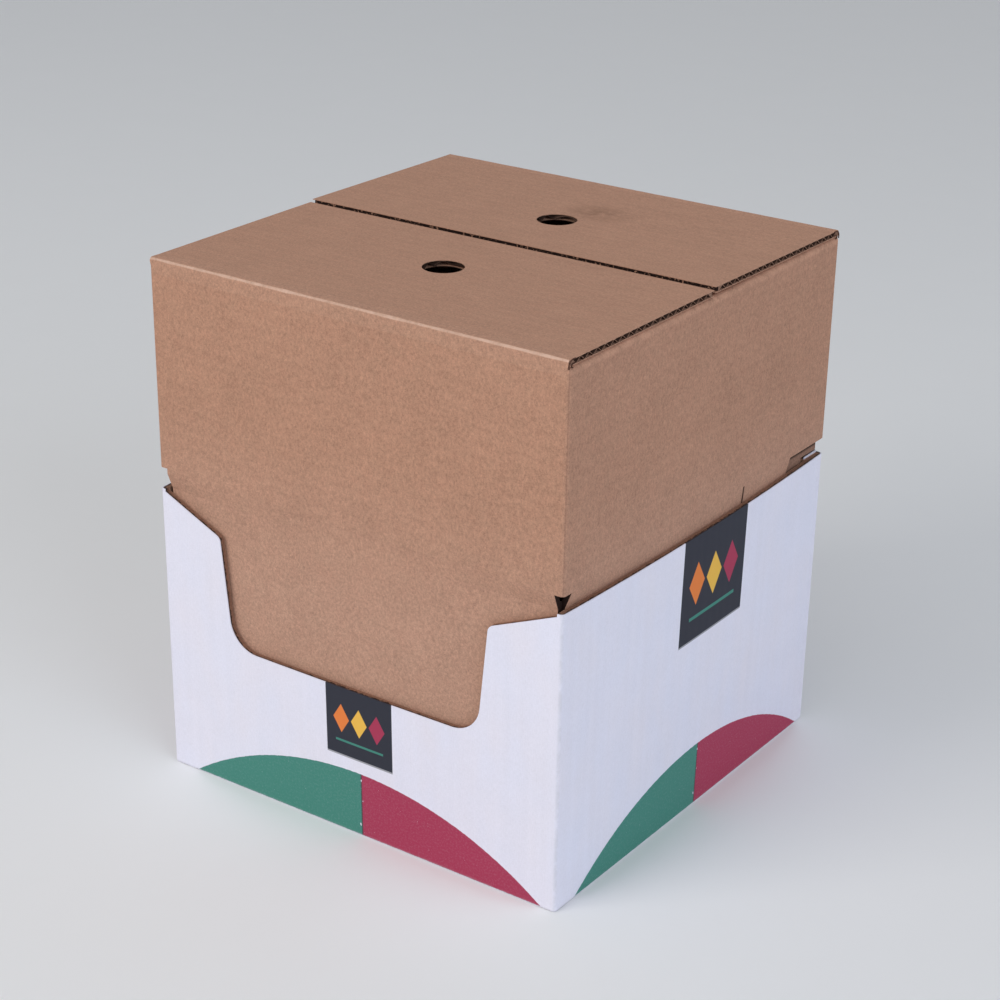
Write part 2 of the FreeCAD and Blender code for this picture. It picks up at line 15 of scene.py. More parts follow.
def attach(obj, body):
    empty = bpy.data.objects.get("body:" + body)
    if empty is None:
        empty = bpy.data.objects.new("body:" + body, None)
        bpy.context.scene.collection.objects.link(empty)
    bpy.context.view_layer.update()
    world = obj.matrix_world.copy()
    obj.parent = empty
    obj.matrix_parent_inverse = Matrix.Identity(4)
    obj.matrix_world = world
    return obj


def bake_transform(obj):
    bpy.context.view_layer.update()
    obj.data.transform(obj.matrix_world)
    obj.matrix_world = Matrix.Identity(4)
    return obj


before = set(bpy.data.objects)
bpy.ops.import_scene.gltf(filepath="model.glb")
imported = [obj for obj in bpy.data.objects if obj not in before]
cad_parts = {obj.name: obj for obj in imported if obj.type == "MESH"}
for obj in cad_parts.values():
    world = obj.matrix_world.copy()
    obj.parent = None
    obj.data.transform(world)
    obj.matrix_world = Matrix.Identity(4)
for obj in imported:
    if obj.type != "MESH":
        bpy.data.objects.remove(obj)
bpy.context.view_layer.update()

bl_info = {
    "name": "Corrugated display pack",
    "version": (1, 0, 0),
    "blender": (4, 5, 0),
    "location": "3D View > Sidebar > Pack",
    "description": "Printed tray, brown hood, their folds and a plain studio",
    "category": "Object",
}

MM = 0.001
REST_PLACE = "rest_place"

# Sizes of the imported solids, in millimetres
HALF_WIDTH = 117.5
PACK_HEIGHT = 268.0
BOARD = 3.0
LINER = 0.3
UPRIGHT_FOLD = 2.2
SIDE_FOLD = 3.2
BASE_FOLD = 1.2
TRAY_HEIGHT = 152.0
TRAY_BOW = 3.0
SKIRT_INSET = 3.4
SLOT_TOP = 160.5
TAB_START = 82.4
INNER_FLAP = 75.0
WALL_TOP = 264.7
HINGE_HEIGHT = 266.5
HINGE_OUT = 116.0
FLUTE_PITCH = 6.5
RISE_SLOPE = 1.2 / 117.5
SLIT_Y = 37.0
SLIT_LENGTH = 45.0
HOLE_Y = 46.5
HOLE_RADIUS = 10.0

# Where the print lies on a wall: left end, right end and lower edge of the dark panels
FRONT_PANEL = (-15.0, 24.5, 41.5)
SIDE_PANEL = (-20.5, 37.5, 96.5)

# Height of the middle of the curled liners, in metres, and how far in from the corner it lies
CURL_HEIGHT = 0.2651
CURL_FROM_SIDE = 0.6
CURL_FROM_FRONT = 2.9


def colour_property(name, description, default):
    """A colour that a user can change, without alpha."""
    return FloatVectorProperty(
        name=name,
        description=description,
        subtype="COLOR",
        size=3,
        min=0.0,
        max=1.0,
        default=default,
    )


def length_property(name, description, default):
    """A length in metres that a user can change."""
    return FloatProperty(
        name=name, description=description, default=default, min=0.0, unit="LENGTH"
    )


class PackSizes(bpy.types.PropertyGroup):
    """Sizes of the pieces that are made here."""

    strip_lift: length_property(
        "Fold skin lift", "How far the paper over a fold stands off the board", 0.00012
    )
    strip_apron: length_property(
        "Fold skin reach", "How far the paper over a fold runs down the wall", 0.006
    )
    strip_wave: length_property(
        "Fold unevenness", "How much the crease of a fold wanders", 0.0003
    )
    curl_width: length_property(
        "Curl width", "How wide the curled liners at a fold's ends are", 0.0005
    )
    floor_size: length_property("Floor size", "Side of the square floor", 6.0)


class PackColours(bpy.types.PropertyGroup):
    """Colours of paper and print."""

    kraft: colour_property("Kraft", "Brown liner of the board", (0.468, 0.259, 0.174))
    white: colour_property("White", "White liner of the tray", (0.81, 0.795, 0.90))
    cavity: colour_property("Cavity", "Shade inside the fluting", (0.020, 0.009, 0.007))
    green: colour_property("Green", "Green field of the print", (0.054, 0.235, 0.187))
    crimson: colour_property("Crimson", "Crimson field of the print", (0.390, 0.037, 0.090))
    torn: colour_property(
        "Torn edge", "Torn edges of paper at the folds' ends", (0.085, 0.040, 0.028)
    )
    panel: colour_property("Panel", "Dark panel of the print", (0.026, 0.028, 0.042))
    orange: colour_property("Orange", "First motif on the panel", (0.80, 0.22, 0.05))
    yellow: colour_property("Yellow", "Second motif on the panel", (0.85, 0.50, 0.08))
    floor: colour_property("Floor", "Plain floor", (0.88, 0.88, 0.88))


# Shader sums
class Signal:
    """A number that a node puts out, so that a material's sums read as sums."""

    def __init__(self, tree, socket):
        self.tree = tree
        self.socket = socket

    def using(self, operation, *others, clamp=False):
        """Puts the number through a Math node."""
        node = self.tree.nodes.new("ShaderNodeMath")
        node.operation = operation
        node.use_clamp = clamp
        for place, value in enumerate((self, *others)):
            feed(self.tree, value, node.inputs[place])
        return Signal(self.tree, node.outputs[0])

    def __add__(self, other):
        return self.using("ADD", other)

    def __sub__(self, other):
        return self.using("SUBTRACT", other)

    def __mul__(self, other):
        return self.using("MULTIPLY", other)

    def __truediv__(self, other):
        return self.using("DIVIDE", other)

    def __gt__(self, other):
        return self.using("GREATER_THAN", other)

    def __lt__(self, other):
        return self.using("LESS_THAN", other)

    def __invert__(self):
        """One minus a mask."""
        return self * -1.0 + 1.0

    def magnitude(self):
        return self.using("ABSOLUTE")

    def lowest(self, other):
        return self.using("MINIMUM", other)

    def highest(self, other):
        return self.using("MAXIMUM", other)

    def rise(self, low, high):
        """Goes smoothly from 0 at low to 1 at high."""
        node = self.tree.nodes.new("ShaderNodeMapRange")
        node.interpolation_type = "SMOOTHSTEP"
        feed(self.tree, self, node.inputs["Value"])
        feed(self.tree, low, node.inputs["From Min"])
        feed(self.tree, high, node.inputs["From Max"])
        return Signal(self.tree, node.outputs["Result"])

    def between(self, low, high, soft=0.05):
        """A mask that is 1 between two values."""
        return self.rise(low - soft, low + soft) * ~self.rise(high - soft, high + soft)


def feed(tree, value, socket):
    """Links a socket or a Signal, or writes a plain value."""
    if isinstance(value, Signal):
        value = value.socket
    if isinstance(value, bpy.types.NodeSocket):
        tree.links.new(value, socket)
    elif socket.type == "RGBA" and len(value) == 3:
        socket.default_value = (*value, 1.0)
    else:
        socket.default_value = value


def place_node(tree, kind, inputs=None, **settings):
    """Adds a node, sets its options and feeds its inputs."""
    node = tree.nodes.new(kind)
    for name, value in settings.items():
        setattr(node, name, value)
    for name, value in (inputs or {}).items():
        feed(tree, value, node.inputs[name])
    return node


def mix_colours(tree, mask, under, over):
    """Lays one colour over another where the mask is 1."""
    node = tree.nodes.new("ShaderNodeMix")
    node.data_type = "RGBA"
    node.clamp_factor = True
    feed(tree, mask, node.inputs[0])
    feed(tree, under, node.inputs[6])
    feed(tree, over, node.inputs[7])
    return node.outputs[2]


def split_axes(tree, vector):
    """The three numbers of a vector."""
    node = place_node(tree, "ShaderNodeSeparateXYZ", {"Vector": vector})
    return [Signal(tree, node.outputs[axis]) for axis in "XYZ"]


def join_axes(tree, x, y, z):
    """A vector from three numbers."""
    return place_node(tree, "ShaderNodeCombineXYZ", {"X": x, "Y": y, "Z": z}).outputs[0]


def cloud(tree, vector, scale, detail=2.0, roughness=0.5):
    """Noise about 0.5 with scale cycles in each millimetre."""
    node = place_node(
        tree,
        "ShaderNodeTexNoise",
        {"Vector": vector, "Scale": scale, "Detail": detail, "Roughness": roughness},
    )
    return Signal(tree, node.outputs["Fac"])


def stretched(tree, vector, x, y, z):
    """The same place with its three axes scaled."""
    node = place_node(
        tree,
        "ShaderNodeVectorMath",
        {0: vector, 1: (x, y, z)},
        operation="MULTIPLY",
    )
    return node.outputs[0]


def tinted(tree, colour, red, green, blue):
    """A colour with each of its three parts multiplied."""
    node = place_node(
        tree,
        "ShaderNodeVectorMath",
        {0: colour, 1: join_axes(tree, red, green, blue)},
        operation="MULTIPLY",
    )
    return node.outputs[0]


def new_group(name, inputs, outputs):
    """An empty node group with its sockets, and its two ends."""
    group = bpy.data.node_groups.new(name, "ShaderNodeTree")
    kinds = {
        "number": "NodeSocketFloat",
        "colour": "NodeSocketColor",
        "place": "NodeSocketVector",
    }
    for label, kind in inputs:
        group.interface.new_socket(label, in_out="INPUT", socket_type=kinds[kind])
    for label, kind in outputs:
        group.interface.new_socket(label, in_out="OUTPUT", socket_type=kinds[kind])
    entry = group.nodes.new("NodeGroupInput")
    leaving = group.nodes.new("NodeGroupOutput")
    return group, entry, leaving


def use_group(tree, group, inputs):
    """Places a node group and returns its outputs by name."""
    node = tree.nodes.new("ShaderNodeGroup")
    node.node_tree = group
    for name, value in inputs.items():
        feed(tree, value, node.inputs[name])
    return {socket.name: socket for socket in node.outputs}


def once(name, build):
    """The node group of that name, built the first time it is asked for."""
    return bpy.data.node_groups.get(name) or build(name)


# Effects that several materials share
def wall_depth_group(name):
    """How deep a place lies under the outer face of four walls that may bulge."""
    group, entry, leaving = new_group(
        name,
        [("Place", "place"), ("Half Size", "number"), ("Bow", "number"), ("Round", "number")],
        [
            ("Depth", "number"),
            ("Along", "number"),
            ("Side Wall", "number"),
            ("Corner", "number"),
        ],
    )
    x, y, _ = split_axes(group, entry.outputs["Place"])
    half, bow, rounding = (
        Signal(group, entry.outputs[label]) for label in ("Half Size", "Bow", "Round")
    )

    def reach(along):
        share = along / half
        return half + bow * ~(share * share)

    over_x = x.magnitude() - reach(y) + rounding
    over_y = y.magnitude() - reach(x) + rounding
    beyond_x = over_x.highest(0.0)
    beyond_y = over_y.highest(0.0)
    corner = (beyond_x * beyond_x + beyond_y * beyond_y).using("SQRT")
    inside = over_x.highest(over_y).lowest(0.0)
    depth = rounding - corner - inside
    side_wall = over_x > over_y
    along_side = y * x.using("SIGN")
    along_front = x * y.using("SIGN") * -1.0
    along = along_front + (along_side - along_front) * side_wall
    feed(group, depth, leaving.inputs["Depth"])
    feed(group, along, leaving.inputs["Along"])
    feed(group, side_wall, leaving.inputs["Side Wall"])
    feed(group, beyond_x.lowest(beyond_y), leaving.inputs["Corner"])
    return group


def kraft_paper_group(name):
    """Brown liner: cloudy, with short fibres along one axis and a few dark specks."""
    group, entry, leaving = new_group(
        name,
        [("Place", "place"), ("Paper", "colour"), ("Strength", "number")],
        [("Colour", "colour"), ("Height", "number")],
    )
    place = entry.outputs["Place"]
    strength = Signal(group, entry.outputs["Strength"])
    clouds = cloud(group, place, 0.045, 4.0, 0.6)
    fibres = cloud(group, stretched(group, place, 1.0, 1.0, 0.8), 0.78, 3.0, 0.75)
    grain = cloud(group, place, 1.6, 2.0, 0.6)
    blush = (cloud(group, place, 0.16, 3.0, 0.6) - 0.5) * strength
    shade = (clouds - 0.5) * 0.20 + (fibres - 0.5) * 1.00 + (grain - 0.5) * 0.62
    level = shade * strength + 1.0 - grain.rise(0.68, 0.78) * strength * 0.10
    paper = entry.outputs["Paper"]
    redder = level + blush * 0.03
    duller = level - blush * 0.05
    toned = tinted(group, paper, redder, duller, duller)
    feed(group, toned, leaving.inputs["Colour"])
    feed(group, fibres * 0.03 + grain * 0.02, leaving.inputs["Height"])
    return group


def cut_board_group(name):
    """The cut end of the board: flutes dark with painted shade between two liners, and a wavy
    medium.
    """
    group, entry, leaving = new_group(
        name,
        [
            ("Depth", "number"),
            ("Run", "number"),
            ("Medium", "number"),
            ("Paper", "colour"),
            ("Cavity", "colour"),
        ],
        [("Mask", "number"), ("Colour", "colour")],
    )
    depth = Signal(group, entry.outputs["Depth"])
    run = Signal(group, entry.outputs["Run"])
    swing = (run * (2 * math.pi / FLUTE_PITCH)).using("SINE") * (BOARD / 2 - LINER * 1.5)
    medium = ~(depth - BOARD / 2 - swing).magnitude().rise(0.15, 0.40)
    torn = cloud(group, join_axes(group, run, depth, 0.0), 0.7, 3.0, 0.7).rise(0.52, 0.68)
    strength = Signal(group, entry.outputs["Medium"])
    dark = mix_colours(group, torn * strength, entry.outputs["Cavity"], entry.outputs["Paper"])
    ends = mix_colours(group, medium * strength, dark, entry.outputs["Paper"])
    feed(group, ends, leaving.inputs["Colour"])
    feed(group, depth.between(LINER, BOARD - LINER), leaving.inputs["Mask"])
    return group


def washboard_group(name):
    """The faint ribs that the fluting raises on a liner."""
    group, entry, leaving = new_group(
        name,
        [("Run", "number"), ("Place", "place")],
        [("Height", "number"), ("Mask", "number")],
    )
    run = Signal(group, entry.outputs["Run"])
    ribs = (run * (2 * math.pi / FLUTE_PITCH)).using("COSINE")
    patchy = cloud(group, entry.outputs["Place"], 0.03, 2.0)
    feed(group, ribs * patchy * 0.035, leaving.inputs["Height"])
    feed(group, ribs * 0.5 + 0.5, leaving.inputs["Mask"])
    return group


def rubbed_group(name):
    """An uneven mask where an edge is rubbed, from how close a place is to it."""
    group, entry, leaving = new_group(
        name, [("Closeness", "number"), ("Place", "place")], [("Mask", "number")]
    )
    close = Signal(group, entry.outputs["Closeness"])
    patchy = cloud(group, entry.outputs["Place"], 0.16, 4.0, 0.7)
    feed(group, close * patchy.rise(0.30, 0.66), leaving.inputs["Mask"])
    return group


def start_material(name, bends=False):
    """A new material with its shader, and the place on the piece in millimetres.

    With bends set, the place comes from where each vertex lay at rest.
    """
    material = bpy.data.materials.new(name)
    material.use_nodes = True
    tree = material.node_tree
    shader = tree.nodes["Principled BSDF"]
    if bends:
        remembered = place_node(tree, "ShaderNodeAttribute", attribute_name=REST_PLACE)
        source = remembered.outputs["Vector"]
    else:
        source = place_node(tree, "ShaderNodeTexCoord").outputs["Object"]
    scaled = place_node(
        tree, "ShaderNodeVectorMath", {0: source, "Scale": 1 / MM}, operation="SCALE"
    )
    return material, tree, shader, scaled.outputs[0]


def finish_shader(tree, shader, colour, roughness, height, shine=0.25):
    """Connects colour, roughness, a height in millimetres and the shine to the shader."""
    feed(tree, colour, shader.inputs["Base Color"])
    feed(tree, roughness, shader.inputs["Roughness"])
    bump = place_node(tree, "ShaderNodeBump", {"Height": height, "Distance": MM})
    feed(tree, bump.outputs["Normal"], shader.inputs["Normal"])
    shader.inputs["Specular IOR Level"].default_value = shine


def near_value(signal, value, width):
    """A soft mask that is 1 at a value and gone a width away from it."""
    return ~(signal - value).magnitude().rise(0.0, width)


def near_corner(across):
    """A mask for places within three boards of a wall, along one axis."""
    return across.magnitude() > HALF_WIDTH - BOARD * 3


# Materials
def printed_fields(tree, colours, along, height, base):
    """The print: a low green and crimson arch on every wall."""
    centre, centre_height, radius, split = 4.3, -145.6, 180.4, 5.4
    across = along - centre
    up = height - centre_height
    far = (across * across + up * up).using("SQRT")
    wander = (cloud(tree, join_axes(tree, along, height, 0.0), 0.5, 2.0) - 0.5) * 0.5
    arch = ~(far + wander).rise(radius - 0.15, radius + 0.15)
    right_half = (along + wander * 0.6).rise(split - 0.1, split + 0.1)
    inks = mix_colours(tree, right_half, tuple(colours.green), tuple(colours.crimson))
    overlap = (along + wander * 0.6).between(split - 0.45, split + 0.35, 0.12)
    inks = mix_colours(tree, overlap * 0.75, inks, (0.05, 0.03, 0.04))

    # Ink is uneven, with pin holes in it and a few misses beside the split
    place = join_axes(tree, along, height, 0.0)
    worn = cloud(tree, place, 0.9, 3.0, 0.7)
    pinholes = cloud(tree, place, 1.3, 1.0, 0.5).rise(0.775, 0.80)
    missed = cloud(tree, stretched(tree, place, 0.5, 0.23, 1.0), 1.0, 1.0).rise(0.66, 0.68)
    missed = missed * near_value(along, split - 0.3, 1.6).rise(0.2, 0.4)
    inks = mix_colours(tree, worn.rise(0.45, 0.75) * 0.07, inks, base)
    crease = (height + wander * 1.2).rise(0.60, 1.0)
    cover = arch * crease * ~(pinholes * 0.8).highest(missed)
    return mix_colours(tree, cover, base, inks)


def printed_panel(tree, colours, along, height, left, right, low, base):
    """A dark panel that hangs from an edge, with three plain lozenges on it."""
    middle = (left + right) / 2
    wide = right - left
    mask = along.between(left, right, 0.12) * (height > low)
    panel = mix_colours(tree, mask, base, tuple(colours.panel))
    size = wide * 0.12
    level = low + wide * 0.52
    for step, ink in enumerate((colours.orange, colours.yellow, colours.crimson)):
        off = (along - (middle + (step - 1) * wide * 0.27)).magnitude()
        lozenge = (off + (height - level).magnitude() * 0.62).rise(size - 0.15, size + 0.15)
        panel = mix_colours(tree, ~lozenge, panel, tuple(ink))
    bar = height.between(low + wide * 0.20, low + wide * 0.23, 0.08)
    bar = bar * along.between(left + wide * 0.14, right - wide * 0.14, 0.1)
    panel = mix_colours(tree, bar, panel, tuple(colours.green))
    # Painted highlight along the panel's lower edge
    lower_edge_highlight = height.between(low, low + 0.8, 0.1) * along.between(left, right, 0.12)
    return mix_colours(tree, lower_edge_highlight * 0.8, panel, (0.42, 0.42, 0.46))


def tray_board_material(colours):
    """White printed board outside, brown inside, with its cut ends along the rim."""
    material, tree, shader, place = start_material("tray_board")
    x, y, z = split_axes(tree, place)
    kraft = use_group(
        tree,
        once("Kraft paper", kraft_paper_group),
        {"Place": place, "Paper": tuple(colours.kraft), "Strength": 1.0},
    )
    rise_share = (z / TRAY_HEIGHT).lowest(1.0)
    walls = use_group(
        tree,
        once("Wall depth", wall_depth_group),
        {
            "Place": place,
            "Half Size": HALF_WIDTH,
            "Bow": rise_share * TRAY_BOW,
            "Round": UPRIGHT_FOLD,
        },
    )
    along = Signal(tree, walls["Along"])
    side_wall = Signal(tree, walls["Side Wall"])
    tab = z > TRAY_HEIGHT + 0.2
    tab_depth = x * -1.0 + (HALF_WIDTH - BOARD)
    depth = Signal(tree, walls["Depth"])
    depth = depth + (tab_depth - depth) * tab

    # The rounded folds along the base, and the base itself, are white paper too
    base_fold = (z < BASE_FOLD + 0.2) * (depth < BASE_FOLD + 0.3)
    depth = depth * ~base_fold * (z > 0.02)

    # White liner: fine weave of the felt, faint streaks up the wall
    sheet = join_axes(tree, along, z, side_wall * 300.0)
    streaks = cloud(tree, stretched(tree, sheet, 1.0, 0.03, 1.0), 0.22, 3.0, 0.6)
    linen = cloud(tree, stretched(tree, sheet, 1.0, 0.25, 1.0), 1.6, 2.0, 0.6)
    fine = cloud(tree, stretched(tree, sheet, 0.3, 1.0, 1.0), 1.9, 2.0, 0.6)
    clouds = cloud(tree, sheet, 0.05, 3.0, 0.6)
    tone = (streaks - 0.5) * 0.07 + (linen - 0.5) * 0.14
    tone = tone + (fine - 0.5) * 0.11 + (clouds - 0.5) * 0.06
    drift = (cloud(tree, stretched(tree, sheet, 1.0, 0.4, 1.0), 0.05, 2.0) - 0.5) * 0.07
    tone = tone + 1.0
    white = tinted(tree, tuple(colours.white), tone + drift, tone, tone - drift)
    printed = printed_fields(tree, colours, along, z, white)
    on_front = (y < 0.0) * ~side_wall
    front = printed_panel(tree, colours, along, z, *FRONT_PANEL, printed)
    others = printed_panel(tree, colours, along, z, *SIDE_PANEL, printed)
    outside = mix_colours(tree, on_front, others, front)

    # Rubbed folds and the foot, which is scuffed
    corner = Signal(tree, walls["Corner"]).rise(0.3, 1.4)
    foot = ~z.rise(0.4, 2.2)
    rubbed = use_group(
        tree,
        once("Rubbed edge", rubbed_group),
        {"Closeness": corner.highest(foot), "Place": place},
    )
    rubbed_mask = Signal(tree, rubbed["Mask"])
    outside = mix_colours(tree, rubbed_mask * 0.30, outside, (0.50, 0.49, 0.50))
    outside = mix_colours(tree, z > TRAY_HEIGHT + 0.2, outside, white)

    # The cut ends show their open flutes dark with painted shade beside the white liner, and
    # are crushed shut behind it
    cut = use_group(
        tree,
        once("Cut board", cut_board_group),
        {
            "Depth": depth - LINER * 0.6,
            "Run": along,
            "Medium": 0.24,
            "Paper": kraft["Colour"],
            "Cavity": tuple(colours.cavity),
        },
    )
    colour = mix_colours(tree, depth > LINER * 1.6, outside, kraft["Colour"])
    crushed = tinted(tree, kraft["Colour"], 0.60, 0.56, 0.54)
    ragged = (cloud(tree, place, 0.45, 3.0, 0.7) - 0.5) * 3.0
    edge = mix_colours(tree, (depth + ragged).rise(1.0, 1.6) * 0.85, cut["Colour"], crushed)
    colour = mix_colours(tree, cut["Mask"], colour, edge)
    washboard = use_group(
        tree, once("Washboard", washboard_group), {"Run": along, "Place": sheet}
    )
    height = (
        Signal(tree, kraft["Height"]) * (depth > LINER)
        + Signal(tree, washboard["Height"]) * 0.8
        + linen * 0.012
        + fine * 0.010
    )
    roughness = (depth > LINER) * 0.22 + 0.62 - rubbed_mask * 0.05
    finish_shader(tree, shader, colour, roughness, height)
    return material


def hood_board_material(colours):
    """Brown board of the hood, with its cut ends in the corner slots."""
    material, tree, shader, place = start_material("hood_board")
    x, y, z = split_axes(tree, place)
    kraft = use_group(
        tree,
        once("Kraft paper", kraft_paper_group),
        {"Place": place, "Paper": tuple(colours.kraft), "Strength": 1.0},
    )
    foot = BOARD * 2
    climb = (z - foot) / (TRAY_HEIGHT - foot)
    linear = ((z - TRAY_HEIGHT) / (SLOT_TOP - TRAY_HEIGHT)).using("ADD", 0.0, clamp=True)
    walls = use_group(
        tree,
        once("Wall depth", wall_depth_group),
        {
            "Place": place,
            "Half Size": linear * SKIRT_INSET + (HALF_WIDTH - SKIRT_INSET),
            "Bow": climb.lowest(1.0) * ~linear * TRAY_BOW,
            "Round": (z > SLOT_TOP) * (UPRIGHT_FOLD - 0.1) + 0.1,
        },
    )
    depth = Signal(tree, walls["Depth"])
    below_top = z < WALL_TOP - SIDE_FOLD
    cut = use_group(
        tree,
        once("Cut board", cut_board_group),
        {
            "Depth": depth,
            "Run": z,
            "Medium": 0.04,
            "Paper": kraft["Colour"],
            "Cavity": tuple(colours.cavity),
        },
    )
    tab = (x > HALF_WIDTH - BOARD * 2 - 0.1) * (x < HALF_WIDTH - BOARD + 0.1) * (y > TAB_START)
    recess = tab * (z < SLOT_TOP)
    ends = Signal(tree, cut["Mask"]) * below_top * ~recess

    # The paper is painted a little paler and bluer towards the tray as painted light thrown up
    # from the white tray, and the recess over the tray's tab is darkened with painted shade
    low = ~z.rise(110.0, 215.0)
    red, green, blue = low * 0.05 + 0.985, low * 0.12 + 0.965, low * 0.20 + 0.955
    paper = tinted(tree, kraft["Colour"], red, green, blue)
    # Painted shade over the recess, darkest just under the slot's top edge
    painted_recess_shade = recess * (z.rise(SLOT_TOP - 4.6, SLOT_TOP - 2.8) * 0.55 + 0.38)
    paper = mix_colours(tree, painted_recess_shade, paper, tuple(colours.cavity))
    colour = mix_colours(tree, ends, paper, cut["Colour"])

    # Nothing lights the board behind the corner slots
    shaded = near_corner(x) * near_corner(y) * (z < SLOT_TOP + BOARD) * (depth > LINER)
    colour = mix_colours(tree, shaded * ~recess, colour, tuple(colours.cavity))

    # The knife slit is frayed and dark, and widens a little towards the tray's rim
    below_slots = z * -1.0 + SLOT_TOP
    slit_reach = below_slots.lowest(SLOT_TOP - TRAY_HEIGHT) * 0.06 + 1.1
    slit = near_value(y, SLIT_Y, slit_reach) * (x > HALF_WIDTH - BOARD * 3)
    slit = slit * (below_slots > 0.0) * (below_slots < SLIT_LENGTH)
    colour = mix_colours(tree, slit * 0.95, colour, tuple(colours.cavity))

    # The free edges of the inner flaps show their fluting
    flap_cut = use_group(
        tree,
        once("Cut board", cut_board_group),
        {
            "Depth": z * -1.0 + WALL_TOP,
            "Run": y,
            "Medium": 0.6,
            "Paper": kraft["Colour"],
            "Cavity": tuple(colours.cavity),
        },
    )
    flap_edge = (x.magnitude() < HALF_WIDTH - INNER_FLAP + 0.1) * (z > WALL_TOP - BOARD)
    flap_edge = flap_edge * (y.magnitude() < HALF_WIDTH - BOARD)
    flap_edge = flap_edge * Signal(tree, flap_cut["Mask"])
    colour = mix_colours(tree, flap_edge, colour, flap_cut["Colour"])

    # Creased upright folds, dark in the crease, and top folds rubbed pale with a painted
    # highlight
    crease = Signal(tree, walls["Corner"]).rise(1.15, 1.5)
    colour = mix_colours(tree, crease * 0.22, colour, tuple(colours.torn))
    diagonal = x.magnitude() * 0.7 + z * 0.7
    top_fold = near_value(diagonal, (HALF_WIDTH + WALL_TOP) * 0.7 - 1.2, 1.6)
    rubbed = use_group(
        tree,
        once("Rubbed edge", rubbed_group),
        {"Closeness": top_fold, "Place": place},
    )
    # Partly rubbed wear and partly a painted highlight along the crest of the top folds
    rubbed_and_highlit_kraft = tuple(min(1.0, part * 1.45) for part in colours.kraft)
    colour = mix_colours(tree, Signal(tree, rubbed["Mask"]) * 0.55, colour, rubbed_and_highlit_kraft)
    washboard = use_group(tree, once("Washboard", washboard_group), {"Run": z, "Place": place})
    upright = below_top * (z > SLOT_TOP)
    height = Signal(tree, kraft["Height"]) + Signal(tree, washboard["Height"]) * upright
    shade = Signal(tree, washboard["Mask"]) * upright * 0.03
    colour = mix_colours(tree, shade, colour, (0.0, 0.0, 0.0))
    finish_shader(tree, shader, colour, 0.86, height, 0.2)
    return material


def flap_board_material(colours):
    """Brown board of the outer flaps, with painted shade in the flutes, the seam and the holes'
    walls, torn ends and a smudge.
    """
    material, tree, shader, place = start_material("flap_board")
    x, y, z = split_axes(tree, place)
    kraft = use_group(
        tree,
        once("Kraft paper", kraft_paper_group),
        {
            "Place": stretched(tree, place, 1.0, 1.9, 1.0),
            "Paper": tuple(colours.kraft),
            "Strength": 1.0,
        },
    )
    rear_rise = y.highest(0.0) * -RISE_SLOPE + HINGE_OUT * RISE_SLOPE
    lifted = rear_rise * (y > 0.0)
    depth = z * -1.0 + PACK_HEIGHT + lifted
    hollow = depth.between(LINER + 0.08, BOARD - LINER - 0.08)
    end_face = x.magnitude() > HALF_WIDTH - 0.95
    free_edge = y.magnitude() < 2.7
    # Painted shade inside the flutes, lighter on the flaps' end faces
    inner = hollow * (~end_face * 0.35 + 0.5) * ~free_edge
    colour = mix_colours(tree, inner, kraft["Colour"], tuple(colours.cavity))
    # Painted shade in the seam between the flaps, with torn fibres showing in it
    fray = cloud(tree, stretched(tree, place, 1.0, 1.0, 0.6), 0.75, 3.0, 0.7).rise(0.56, 0.62)
    seam_shade_with_fibres = mix_colours(tree, fray, tuple(colours.cavity), kraft["Colour"])
    colour = mix_colours(tree, free_edge * hollow, colour, seam_shade_with_fibres)
    # Painted shade on the walls of the holes
    from_hole = y.magnitude() - HOLE_Y
    from_hole = (x * x + from_hole * from_hole).using("SQRT")
    hole_side = (from_hole < HOLE_RADIUS + 0.05) * (depth > LINER + 0.1)
    colour = mix_colours(tree, hole_side * 0.85, colour, tuple(colours.cavity))

    # A faint dirty smudge beside the rear hole
    spot_x = (x - 10.0) / 25.0
    spot_y = (y - 69.0) / 19.0
    spot = (spot_x * spot_x + spot_y * spot_y).using("SQRT")
    smudge = ~spot.rise(0.1, 1.0) * cloud(tree, place, 0.14, 3.0, 0.7).rise(0.25, 0.6)
    colour = mix_colours(tree, smudge * 0.50, colour, (0.20, 0.105, 0.062))
    washboard = use_group(tree, once("Washboard", washboard_group), {"Run": y, "Place": place})
    top = depth < 0.1
    shade = Signal(tree, washboard["Mask"]) * top * 0.035
    colour = mix_colours(tree, shade, colour, (0.0, 0.0, 0.0))
    height = Signal(tree, kraft["Height"]) + Signal(tree, washboard["Height"]) * top
    finish_shader(tree, shader, colour, 0.86, height, 0.2)
    return material


